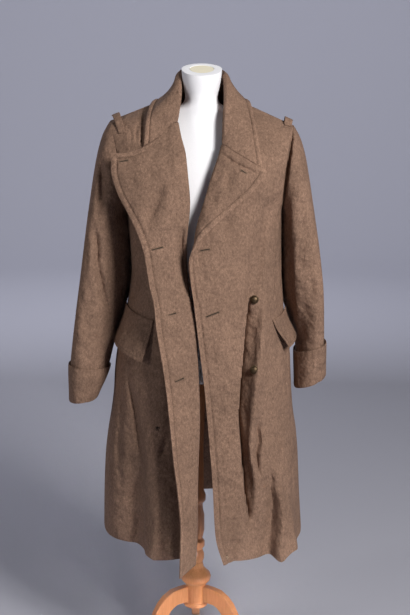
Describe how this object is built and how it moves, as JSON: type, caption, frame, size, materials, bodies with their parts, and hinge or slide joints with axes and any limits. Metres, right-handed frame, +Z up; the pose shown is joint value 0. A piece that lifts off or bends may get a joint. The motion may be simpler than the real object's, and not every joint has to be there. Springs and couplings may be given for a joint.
{
  "type": "greatcoat on a dress form with a stand",
  "caption": "Long brown wool greatcoat worn open on a limbless dress form with a turned wooden tripod stand; wide lapels, turned-back cuffs, pocket flaps and shoulder loops.",
  "frame": {"origin": "on the floor under the middle of the whole part's box", "axes": "+Z up from the floor, -Y the way the coat faces, -X to the wearer's right"},
  "size_m": [0.6758, 0.5482, 1.5631],
  "materials": {
    "wool": "coarse napped wool, matt",
    "form_cover": "plain white jersey",
    "neck_disc": "plain cream cloth",
    "beech": "turned beech, satin varnish",
    "button": "darkened, worn on the dome"
  },
  "bodies": {
    "root": {"front_right": "wool", "front_left": "wool", "facing_right": "wool", "facing_left": "wool", "back_right": "wool", "back_left": "wool", "sleeve_right": "wool", "sleeve_left": "wool", "cuff_right": "wool", "cuff_left": "wool", "collar": "wool", "pocket_flap_right": "wool", "pocket_flap_left": "wool", "shoulder_loop_right": "wool", "shoulder_loop_left": "wool", "button_upper": "button", "button_lower": "button", "form_body": "form_cover", "neck_disc": "neck_disc", "spindle": "beech", "hub": "beech", "leg_right": "beech", "leg_left": "beech", "leg_back": "beech"}
  },
  "joints": []
}
